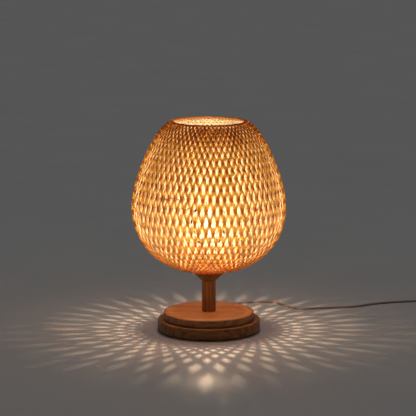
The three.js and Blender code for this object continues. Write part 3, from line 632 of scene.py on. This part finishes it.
def make_base():
    pad = lathe("felt_pad", rounded_disc(77, 0, 1.2, 24, 0.3, 0.3))
    piece = add_object("felt_pad", pad, replaces=["base_pad"])
    paint(piece, "felt")

    recess, recess_top, bottom, top = 21, 11.5, 1.5, 19
    rim = rounded_disc(83, bottom, top, ROD_HOLE, 1.8, 2.4)
    outline = [(recess, bottom)] + rim[1:] + [(ROD_HOLE, recess_top), (recess, recess_top)]
    piece = add_object(
        "lower_base_disc", lathe("lower_base_disc", outline, 160),
        replaces=["base_lower_disc"])
    paint(piece, "base_wood")

    upper = lathe("upper_base_disc", rounded_disc(73.2, 19.3, 31, ROD_HOLE, 1.2, 0.6), 160)
    piece = add_object("upper_base_disc", upper, replaces=["base_upper_disc"])
    paint(piece, "base_top_wood")


def make_stem():
    stem = lathe("turned_stem", rounded_disc(11.25, 31.3, 81.9, ROD_HOLE, 0.7, 0.7), 96)
    piece = add_object("turned_stem", stem, replaces=["stem"])
    paint(piece, "stem_wood")

    bottom, top, floor, wall, mouth, foot = 82.2, 98, 88.5, 4.5, 29, 12.2
    flare = (mouth - foot) / (top - bottom)
    outline = [
        (ROD_HOLE, bottom), (11.4, bottom), (12.0, bottom + 0.25), (12.7, bottom + 0.9),
        (mouth - 0.6 * flare, top - 0.6), (mouth - 0.1, top - 0.15), (mouth - 0.5, top),
        (mouth - wall, top), (mouth - wall - (top - floor) * flare, floor), (ROD_HOLE, floor),
    ]
    piece = add_object(
        "flared_cup", lathe("flared_cup", outline, 128), replaces=["shade_cup"])
    paint(piece, "stem_wood")


make_base()
make_stem()


# ---------------------------------------------------------------- woven shade

STRIPS = 66  # in each direction of each layer: an even number, so over and under come out right
OUTER_WIDTH, OUTER_FULLEST = 3.7, 0.50  # a strip's width, and the most of its room that it takes
INNER_WIDTH, INNER_FULLEST = 7.4, 0.70
STRIP_THICKNESS, STRIP_BEVEL = 0.5, 0.28  # the bevel is a part of half the strip's width
OUTER_DEPTH, INNER_DEPTH = 0.8, 4.0  # how far each layer's middle lies inside the outline
LEAN = 0.315  # tangent of a strip's angle to the meridian at the widest place
SWAY = 0.06  # how much more one direction leans than the other
WIDEST = 124.2
STEPS_PER_CROSSING = 4
HEAVE = 0.32  # how far a strip goes out and in as it passes over and under
WANDER = 0.03  # how far a strip strays from its place and waves, as a part of the spacing
WAVE_LENGTH = 45
WAVE_STARTS = 6.28  # a wave starts anywhere in about one turn
DARK_STRIPS = 0.1  # the part of the strips that have the darkest tone


def shade_outline():
    """Radius, height and outward normal at even steps along the shade's outline."""
    belly = bezier((34.6, 98.6), (80.5, 107.5), (WIDEST, 140), (WIDEST, 205), 400)
    shoulder = bezier((WIDEST, 205), (WIDEST, 243), (90, 329), (63, 340.5), 400)
    points = np.array(belly + shoulder[1:])
    way = np.gradient(points, axis=0)
    way /= np.linalg.norm(way, axis=1)[:, None]
    length = np.concatenate([[0], np.cumsum(np.linalg.norm(np.diff(points, axis=0), axis=1))])
    return points, np.stack([way[:, 1], -way[:, 0]], axis=1), length


def strip_family(rng, direction, inwards, first_angle, width, fullest):
    """One direction of one layer: its vertices, faces and the values of its two attributes.

    direction is 1 for strips that lean one way, and -1 for those that lean the other way and pass
    under where the first pass over.
    """
    points, normals, length = shade_outline()
    middle = points - normals * inwards
    radius = middle[:, 0]
    lean = LEAN * (WIDEST / radius) ** 0.9
    winding = [
        np.concatenate([[0], np.cumsum(np.diff(length) * (s * lean / radius)[1:])])
        for s in (1 + SWAY, 1 - SWAY)
    ]
    crossing = (winding[0] + winding[1]) * STRIPS / (2 * math.pi)
    steps = int(crossing[-1] * STEPS_PER_CROSSING)
    at = np.interp(np.linspace(0, crossing[-1], steps + 1), crossing, length)
    r, z = (np.interp(at, length, middle[:, n]) for n in (0, 1))
    out_r, out_z = (np.interp(at, length, normals[:, n]) for n in (0, 1))
    turn = np.interp(at, length, winding[0 if direction > 0 else 1]) * direction
    slope = np.interp(at, length, lean) * ((1 + SWAY) if direction > 0 else (1 - SWAY))
    cosine = 1 / np.sqrt(1 + slope ** 2)
    own_room = 2 * math.pi * r / STRIPS * cosine
    half = np.minimum(width, fullest * own_room) / 2
    over = np.cos(math.pi * np.interp(at, length, crossing))
    rise = HEAVE * direction * over
    flat, thick = 1 - STRIP_BEVEL, STRIP_THICKNESS / 2
    section = [(-1, 0), (-flat, thick), (flat, thick), (1, 0), (flat, -thick), (-flat, -thick)]

    vertices, faces, strip, painted_shade = [], [], [], []
    for index in range(STRIPS):
        own = rng.random() if rng.random() > DARK_STRIPS else 0.0
        wander = rng.gauss(0, WANDER) * 2 * math.pi / STRIPS
        wave, where = rng.gauss(0, WANDER) * 2 * math.pi / STRIPS, rng.random() * WAVE_STARTS
        wide = rng.uniform(0.9, 1.06)
        base = len(vertices)
        for i in range(steps + 1):
            angle = first_angle + 2 * math.pi * index / STRIPS + turn[i] + wander
            angle += wave * math.sin(where + at[i] / WAVE_LENGTH)
            c, s = math.cos(angle), math.sin(angle)
            normal = Vector((out_r[i] * c, out_r[i] * s, out_z[i]))
            around = Vector((-s, c, 0))
            meridian = around.cross(normal) * -1
            way = (meridian + around * slope[i] * direction).normalized()
            across = normal.cross(way)
            centre = Vector((r[i] * c, r[i] * s, z[i])) + normal * rise[i]
            for x, y in section:
                vertices.append((centre + across * (x * half[i] * wide) + normal * y) * MM)
                strip.append((x * half[i], at[i], own))
                # Painted shade: strongest at a crossing, and on the strip's edge vertices.
                painted_shade.append((abs(over[i]), 1.0 if y == 0 else 0.0, 0.0))
        ring = len(section)
        for i in range(steps):
            here = base + i * ring
            for k in range(ring):
                after = (k + 1) % ring
                faces.append((here + k, here + after, here + ring + after, here + ring + k))
        last = base + steps * ring
        faces.append(tuple(base + k for k in range(ring - 1, -1, -1)))
        faces.append(tuple(last + k for k in range(ring)))
    return vertices, faces, strip, painted_shade


def add_attribute(data, name, values):
    """Stores three numbers for each vertex, for the materials to read."""
    attribute = data.attributes.new(name, "FLOAT_VECTOR", "POINT")
    attribute.data.foreach_set("vector", np.array(values, np.float32).ravel())


def make_weave():
    rng = random.Random(20)
    outer = (OUTER_DEPTH, 0.0, OUTER_WIDTH, OUTER_FULLEST)
    inner = (INNER_DEPTH, math.pi / STRIPS, INNER_WIDTH, INNER_FULLEST)
    plans = [
        ("outer_weave_right", 1, outer, "outer_bamboo", "shade_outer_weave"),
        ("outer_weave_left", -1, outer, "outer_bamboo", "shade_outer_weave"),
        ("inner_weave_right", 1, inner, "inner_bamboo", "shade_inner_weave"),
        ("inner_weave_left", -1, inner, "inner_bamboo", "shade_inner_weave"),
    ]
    for name, direction, layer, material, node in plans:
        vertices, faces, strip, painted_shade = strip_family(rng, direction, *layer)
        data = solid_from(name, vertices, faces, 50)
        add_attribute(data, "strip", strip)
        add_attribute(data, "painted_crossing_and_edge_shade", painted_shade)
        piece = add_object(name, data, replaces=[node])
        paint(piece, material)


def make_hoops():
    plans = [
        ("top_hoop_inside", 56.4, 58.95, 338.2, 341.4, "shade_top_hoop_inner", "dark_bamboo"),
        ("top_hoop_outside", 59.25, 61.8, 338.2, 341.4, "shade_top_hoop_outer", "dark_bamboo"),
        ("bottom_hoop", 34.3, 37.8, 104.8, 107.6, "shade_bottom_hoop", "bamboo"),
    ]
    ease = 0.8
    for name, inside, outside, bottom, top, node, slot in plans:
        outline = []
        for (r, z), start in (
            ((outside - ease, bottom + ease), -90), ((outside - ease, top - ease), 0),
            ((inside + ease, top - ease), 90), ((inside + ease, bottom + ease), 180),
        ):
            outline += arc((r, z), ease, start, start + 90, 3)
        data = lathe(name, outline, 160)
        places = np.array([v.co for v in data.vertices]) / MM
        around = np.arctan2(places[:, 1], places[:, 0]) * inside
        own = np.full(len(places), 0.4)
        add_attribute(data, "strip", np.stack([places[:, 2], around, own], 1))
        piece = add_object(name, data, replaces=[node])
        paint(piece, "hoop_bamboo")


make_weave()
make_hoops()


# ---------------------------------------------------------------- lampholder and bulb

BULB_Z = 106  # height of the bulb's own origin, under its cap


def make_holder():
    skirt = [
        (17.2, 98), (19.4, 98), (19.6, 98.2), (19.6, 117.6), (18.6, 119), (18.6, 131.5),
        *arc((17.1, 131.5), 1.5, 0, 90), (15.3, 133), (15.3, 129), (17.2, 126),
    ]
    piece = add_object(
        "holder_outer_skirt", lathe("holder_outer_skirt", skirt, 96),
        replaces=["holder_skirt"])
    paint(piece, "phenolic")


def make_bulb():
    wall, neck, widest, top = 0.9, 13.2, 30, 104
    outside = bezier((neck, 25.3), (neck, 37), (widest, 50), (widest, 72), 20)
    outside += bezier((widest, 72), (widest, 90), (17, top), (0, top), 20)[1:]
    inside = [(max(0.0, r - wall), min(z, top - wall)) for r, z in outside]
    glass = lathe("bulb_envelope", outside + inside[::-1], 96)
    glass.transform(Matrix.Translation((0, 0, BULB_Z * MM)))
    piece = add_object(
        "bulb_envelope", glass, body="bulb", replaces=["bulb_glass"])
    paint(piece, "bulb_glass")


make_holder()
make_bulb()


# ---------------------------------------------------------------- what is on the lead

GLAND_HEIGHT = 0.008


def make_gland():
    """A flexible bush round the lead where it leaves the base, with six ribs that get thinner."""
    hole, end, ribs = 2.05, 112, 6
    outline = [
        (hole, 83.3), (5.9, 83.3), (6.2, 83.6), (6.2, 85.2), (5.6, 85.8), (4.1, 86.2),
    ]
    for rib in range(ribs):
        start, radius = 88 + 3.6 * rib, 4.0 - 0.18 * rib
        groove = radius - 0.55
        outline += [
            (radius, start), (groove, start + 0.5), (groove, start + 1.3),
            (radius - 0.1, start + 1.8),
        ]
    outline += [(2.95, end - 0.6), (2.7, end), (hole, end)]
    data = lathe("lead_bush", outline, 48)
    backwards = Matrix.Rotation(-math.pi / 2, 4, "X")
    data.transform(Matrix.Translation((0, 0, GLAND_HEIGHT)) @ backwards)
    piece = add_object("lead_bush", data, replaces=["lead_gland"])
    paint(piece, "brown_plastic")


def make_tie():
    """A strap of felt tape round all the turns of the coil, at one place."""
    angle = math.radians(215)
    half, bottom, top, corner = 9.3, 0.4, 8.8, 2.4
    middle = (COIL["inside"] + COIL["outside"]) / 2
    out = Vector((math.cos(angle), math.sin(angle), 0))
    hub = Vector((COIL["x"], COIL["y"], 0)) + out * middle
    path, ups = [], []
    for (x, z), start in (
        ((half - corner, bottom + corner), -90), ((half - corner, top - corner), 0),
        ((-half + corner, top - corner), 90), ((-half + corner, bottom + corner), 180),
    ):
        for px, pz in arc((x, z), corner, start, start + 90, 5):
            path.append((hub + out * px + Vector((0, 0, pz))) * MM)
            ups.append(out * (px - x) + Vector((0, 0, pz - z)))
    side = [(2.8, -0.28), (3, -0.12), (3, 0.12), (2.8, 0.28)]
    tape = [(-3, -0.12), (-2.8, -0.28)] + side + [(-2.8, 0.28), (-3, 0.12)]
    section = [(x * MM, y * MM) for x, y in tape]
    band = add_object(
        "coil_strap", sweep("coil_strap", path, section, ups, closed=True),
        replaces=["coil_tie"])
    paint(band, "felt")
    return band


def loft(name, stations, place, sides=48, power=3.4):
    """A closed solid through ovals along Y: (y, half width, half height) each.

    The ovals are flat-sided, except for those less than 12 mm wide."""
    vertices, faces = [], []
    for y, wide, high in stations:
        squareness = power if wide > 6 else 2.0
        for k in range(sides):
            a = 2 * math.pi * k / sides
            c, s = math.cos(a), math.sin(a)
            fit = (abs(c) ** squareness + abs(s) ** squareness) ** (-1 / squareness)
            vertices.append((Vector(place) + Vector((wide * c * fit, y, high * s * fit))) * MM)
    for i in range(len(stations) - 1):
        here, there = i * sides, (i + 1) * sides
        for k in range(sides):
            after = (k + 1) % sides
            faces.append((here + k, here + after, there + after, there + k))
    faces.append(tuple(range(sides)))
    faces.append(tuple(range(len(vertices) - 1, len(vertices) - 1 - sides, -1)))
    return solid_from(name, vertices, faces, 40)


FACE = -18  # the plug's face, in front of the middle of its body


def make_plug():
    """A flat moulded plug with a ribbed relief, and two round pins."""
    stations = [
        (FACE, 12.6, 6.0), (-17.7, 13.1, 6.5), (-17.2, 13.4, 6.75), (-16, 13.7, 6.85),
        (-8, 15.6, 6.85), (-1, 17.1, 6.85), (3, 17.5, 6.85), (6, 17.3, 6.85), (9, 16.1, 6.8),
        (12, 13.2, 6.6), (14, 10.4, 6.3), (16, 7.6, 5.8), (17.4, 6.1, 5.2), (18.4, 4.6, 4.6),
    ]
    relief_ribs = 4
    for rib in range(relief_ribs):
        start, radius = 19.2 + 2.8 * rib, 4.3 - 0.38 * rib
        groove, end = radius - 0.6, radius - 0.15
        stations += [
            (start, groove, groove), (start + 0.9, groove, groove),
            (start + 1.1, radius, radius), (start + 2.5, end, end),
        ]
    stations += [(30.9, 2.75, 2.75), (31.8, 2.6, 2.6)]
    body = add_object(
        "moulded_plug", loft("moulded_plug", stations, (SWITCH_X, PLUG_Y, PLUG_AXIS)),
        replaces=["plug_body"])
    paint(body, "brown_plastic")
    made = [body]
    radius, length, apart, root, ease = 2.0, 19, 18.6, 5.0, 1.6
    outline = [
        (0, -root), (radius, -root), (radius, length - ease),
        *arc((radius - ease, length - ease), ease, 0, 90), (0, length),
    ]
    forwards = Matrix.Rotation(math.pi / 2, 4, "X")
    pins = (("left_plug_pin", "plug_pin_left", -1), ("right_plug_pin", "plug_pin_right", 1))
    for name, node, side in pins:
        data = lathe(name, outline, 40, closed=False)
        place = Vector((SWITCH_X + side * apart / 2, PLUG_Y + FACE, PLUG_AXIS)) * MM
        data.transform(Matrix.Translation(place) @ forwards)
        pin = add_object(name, data, replaces=[node])
        paint(pin, "nickel")
        made.append(pin)
    return made


def soften_edges(piece, width):
    """Rounds a moulded CAD piece's sharp edges."""
    bevel = piece.modifiers.new("soft_edges", "BEVEL")
    bevel.width = width * MM
    bevel.segments = 3
    bevel.limit_method = "ANGLE"
    bevel.angle_limit = math.radians(50)


make_gland()
on_the_lead = [make_tie(), *make_plug()]
for switch_node in (
    "switch_lower_half", "switch_upper_half", "switch_screw_1", "switch_screw_2", "switch_rocker",
):
    on_the_lead.append(nodes[switch_node])
for switch_node in ("switch_lower_half", "switch_upper_half", "switch_rocker"):
    soften_edges(nodes[switch_node], 0.5)


# ---------------------------------------------------------------- floor and light

scene.view_settings.view_transform = "Standard"

WORLD_GLOW = 0.053
HORIZON_GLOW = 0.086  # as bright as the floor looks, so that the two meet without a step
SKY_GLOW = 0.34
UNDER_GLOW = 0.085
SHADE_GLOW = 3.3
GLOW_HEIGHTS = 5
LOWEST_GLOW, GLOW_TALL = 0.152, 0.034

# The pattern of light on the floor, in metres from the lamp's axis and radians from its front.
FLOOR_GLOW = 2.3
PATTERN_Z = 0.16  # height of the light that makes it
FLOOR_DIAMONDS = 42.0  # in one turn
ROW_SPACING, FIRST_ROW = 5.7, 22.63  # of distance ** -1.5, which puts the rows further apart outwards
TURN_PHASE, TURN_UNEVEN = -0.68, 2.4
PATTERN_START, PATTERN_FULL = 0.100, 0.150
PATTERN_END, FRONT_REACH, PATTERN_FADES = 0.41, 0.09, 0.13
BETWEEN_DIAMONDS = 0.22
FRONT_SPREAD = 0.12
FRONT_START, FRONT_FULL, FRONT_GLOW = 0.15, 0.32, 2.2
PATCH_OUT, PATCH_LENGTH, PATCH_TURN, PATCH_GLOW = 0.326, 0.042, 0.095, 0.85


def make_floor():
    half = 40.0
    corners = [(-half, -half, 0), (half, -half, 0), (half, half, 0), (-half, half, 0)]
    data = mesh_from("floor", corners, [(0, 1, 2, 3)], 35)
    floor = bpy.data.objects.new("floor", data)
    scene.collection.objects.link(floor)
    material, tree = new_tree("floor")
    mottle = noise(tree, object_place(tree), 0.004, 3.0)
    shader = add_node(
        tree, "ShaderNodeBsdfPrincipled", Roughness=0.75,
        Base_Color=ramp(
            tree, mottle, [(0.3, color(0.55, 0.55, 0.55)), (0.7, color(0.58, 0.58, 0.58))]))
    output(tree, shader)
    data.materials.append(material)


def add_light(name, kind, place, power, tint, size, look_at=None):
    """size is an area light's width, and the radius of another light."""
    data = bpy.data.lights.new(name, kind)
    data.energy = power
    data.color = tint
    if kind == "AREA":
        data.size = size
    else:
        data.shadow_soft_size = size
    light = bpy.data.objects.new(name, data)
    scene.collection.objects.link(light)
    light.location = place
    if look_at is not None:
        way = Vector(look_at) - Vector(place)
        light.rotation_euler = way.to_track_quat("-Z", "Y").to_euler()
    return light


def linked(name, pieces):
    """A collection for a light to be limited to, or shadowed by, the named pieces."""
    group = bpy.data.collections.new(name)
    for piece in pieces:
        group.objects.link(bpy.data.objects[piece])
    return group


def smooth_rise(tree, value, start, full, top=1.0):
    """Goes smoothly from 0 at start to top at full."""
    made = add_node(
        tree, "ShaderNodeMapRange", {"interpolation_type": "SMOOTHSTEP"},
        Value=value, From_Min=start, From_Max=full, To_Max=top)
    return made.outputs["Result"]


def bell(tree, value, narrowness):
    """1 where the value is 0, and less to both sides of it."""
    square = math_node(tree, "MULTIPLY", value, value)
    return math_node(tree, "EXPONENT", math_node(tree, "MULTIPLY", square, -narrowness))


def openings_pattern(light):
    """Shapes the light that falls on the floor, as if through the weave: rows of long diamonds."""
    light.use_nodes = True
    tree = light.node_tree
    way = add_node(tree, "ShaderNodeTexCoord").outputs["Normal"]
    x, y, z = add_node(tree, "ShaderNodeSeparateXYZ", Vector=way).outputs
    x_squared = math_node(tree, "MULTIPLY", x, x)
    y_squared = math_node(tree, "MULTIPLY", y, y)
    flat = math_node(tree, "SQRT", math_node(tree, "ADD", x_squared, y_squared))
    slope = math_node(tree, "DIVIDE", flat, math_node(tree, "ABSOLUTE", z))
    out = math_node(tree, "MULTIPLY", slope, PATTERN_Z)
    round_way = math_node(tree, "ARCTAN2", x, math_node(tree, "MULTIPLY", y, -1.0))
    place = add_node(tree, "ShaderNodeCombineXYZ", X=x, Y=y, Z=out).outputs[0]
    uneven = add_node(tree, "ShaderNodeTexNoise", Vector=place, Scale=5.0, Detail=2.0).outputs["Fac"]

    per_row = 2 * math.pi / ROW_SPACING
    row = math_node(
        tree, "MULTIPLY_ADD", math_node(tree, "POWER", out, -1.5), -per_row, FIRST_ROW * per_row)
    strayed = math_node(tree, "MULTIPLY_ADD", uneven, TURN_UNEVEN, TURN_PHASE)
    turned = math_node(tree, "MULTIPLY_ADD", round_way, FLOOR_DIAMONDS, strayed)
    rows_here = math_node(tree, "MULTIPLY_ADD", bell(tree, round_way, 1.0), 0.4, 0.6)
    row = math_node(tree, "MULTIPLY", row, rows_here)
    families = []
    for lean in ("ADD", "SUBTRACT"):
        wave = math_node(tree, "COSINE", math_node(tree, lean, turned, row))
        families.append(smooth_rise(tree, wave, -1.0, 1.05))
    diamonds = math_node(tree, "MULTIPLY", *families)

    front = bell(tree, round_way, 1 / FRONT_SPREAD ** 2)
    reach = math_node(tree, "MULTIPLY_ADD", front, FRONT_REACH, PATTERN_END)
    starts = smooth_rise(tree, out, PATTERN_START, PATTERN_FULL)
    ends = smooth_rise(tree, out, reach, PATTERN_FADES)
    far = smooth_rise(tree, out, FRONT_START, FRONT_FULL, FRONT_GLOW)
    shown = math_node(
        tree, "MULTIPLY", math_node(tree, "MULTIPLY", starts, ends),
        math_node(tree, "MULTIPLY_ADD", front, far, 1.0))
    patchy = math_node(tree, "MULTIPLY", shown, spread(tree, uneven, 0.4, 1.6))
    strength = math_node(
        tree, "MULTIPLY", patchy, math_node(tree, "ADD", diamonds, BETWEEN_DIAMONDS))

    past_patch = math_node(
        tree, "MULTIPLY_ADD", out, 1 / PATCH_LENGTH, -PATCH_OUT / PATCH_LENGTH)
    beside_patch = math_node(tree, "MULTIPLY", round_way, 1 / PATCH_TURN)
    off_patch = math_node(
        tree, "ADD", math_node(tree, "POWER", beside_patch, 2.0),
        math_node(tree, "POWER", past_patch, 2.0))
    patch = math_node(tree, "EXPONENT", math_node(tree, "MULTIPLY", off_patch, -1.0))
    strength = math_node(tree, "MULTIPLY_ADD", patch, PATCH_GLOW, strength)
    emission = add_node(tree, "ShaderNodeEmission", Strength=strength)
    emission.inputs["Color"].default_value = WHITE
    tree.links.new(emission.outputs[0], tree.nodes["Light Output"].inputs["Surface"])


def make_world():
    """A plain backdrop, slightly brighter at the horizon."""
    world = bpy.data.worlds.new("studio")
    scene.world = world
    world.use_nodes = True
    tree = world.node_tree
    backdrop = tree.nodes["Background"]
    backdrop.inputs["Color"].default_value = WHITE
    place = add_node(tree, "ShaderNodeTexCoord").outputs["Generated"]
    height = add_node(tree, "ShaderNodeSeparateXYZ", Vector=place).outputs["Z"]
    glow = add_node(
        tree, "ShaderNodeMapRange", Value=height, From_Max=0.4, To_Min=HORIZON_GLOW,
        To_Max=WORLD_GLOW)
    tree.links.new(glow.outputs["Result"], backdrop.inputs["Strength"])


def make_lights():
    """A soft sky, the bulb's own light, the pattern on the floor and the glow under the shade."""
    base = ["lower_base_disc", "upper_base_disc"]
    stand = base + ["turned_stem", "flared_cup"]
    sky = add_light("sky", "SUN", (0, 0.8, 2), SKY_GLOW, (1, 1, 1), 1, (0, 0, 0))
    sky.data.angle = math.radians(25)
    sky.light_linking.blocker_collection = linked("sky_shadows", base + ["felt_pad", "mains_lead"])

    for step in range(GLOW_HEIGHTS):
        height = LOWEST_GLOW + GLOW_TALL * step / (GLOW_HEIGHTS - 1)
        glow = add_light(
            "shade_glow_%d" % step, "POINT", (0, 0, height), SHADE_GLOW / GLOW_HEIGHTS,
            (1.0, 0.83, 0.68), 0.0025)
        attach(glow, "bulb")
    pattern = add_light(
        "floor_glow", "POINT", (0, 0, PATTERN_Z), FLOOR_GLOW, (1.0, 0.70, 0.46), 0.0)
    openings_pattern(pattern.data)
    pattern.light_linking.receiver_collection = linked("patterned", ["floor", "mains_lead"])
    pattern.light_linking.blocker_collection = linked("pattern_shadows", stand)
    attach(pattern, "bulb")

    under = add_light(
        "under_glow", "AREA", (0, 0, 0.0985), UNDER_GLOW, (1.0, 0.50, 0.13), 0.15, (0, 0, 0))
    under.data.shape = "DISK"
    under.light_linking.receiver_collection = linked("under_lit", stand)
    under.light_linking.blocker_collection = linked("under_shadows", stand)
    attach(under, "lamp")


make_floor()
make_world()
make_lights()
